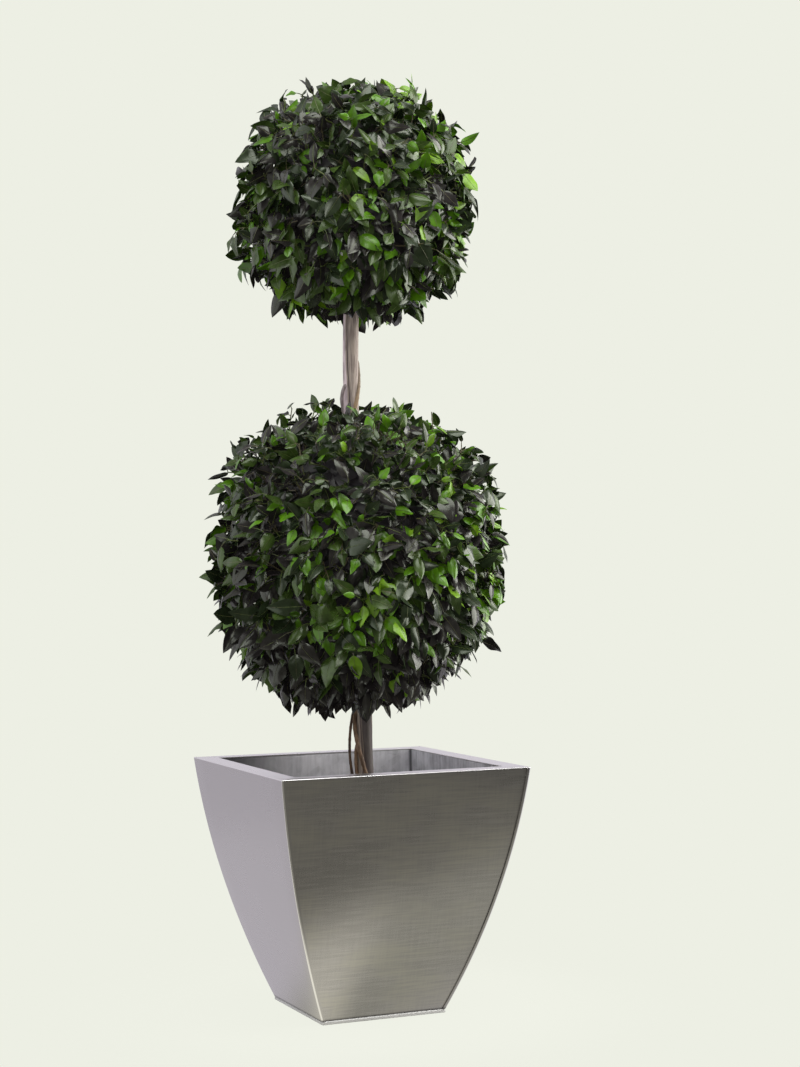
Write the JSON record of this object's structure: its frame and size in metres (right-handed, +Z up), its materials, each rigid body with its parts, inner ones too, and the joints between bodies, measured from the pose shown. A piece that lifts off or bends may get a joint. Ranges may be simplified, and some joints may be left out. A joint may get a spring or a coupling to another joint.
{
  "type": "potted ivy topiary",
  "caption": "Clipped ivy topiary: a larger ball of leaves under a smaller one on a bare leaning trunk, growing in a square tapered metal planter with bowed sides.",
  "frame": {"origin": "middle of the planter's flat underside, on the ground", "axes": "+Z up along the plant, -Y out of the planter's front, +X to the right as seen from the front"},
  "size_m": [0.4265, 0.4249, 1.2677],
  "materials": {
    "planter_metal": "satin, brushed across",
    "liner_metal": "dull galvanised, blotched",
    "soil": "loose potting mix",
    "bark": "dry grey-brown bark",
    "vine_bark": "dry tan bark",
    "foliage": "glossy dark green leaves"
  },
  "bodies": {
    "root": {"base_plate": "planter_metal", "side_panel_right": "planter_metal", "side_panel_left": "planter_metal", "back_panel": "planter_metal", "front_panel": "planter_metal", "liner": "liner_metal", "soil": "soil", "trunk": "bark", "vine_low_left": "vine_bark", "vine_low_crossing": "vine_bark", "vine_low_short": "vine_bark", "vine_high_right": "vine_bark", "vine_high_left": "vine_bark", "lower_ball_foliage": "foliage", "upper_ball_foliage": "foliage"}
  },
  "joints": []
}
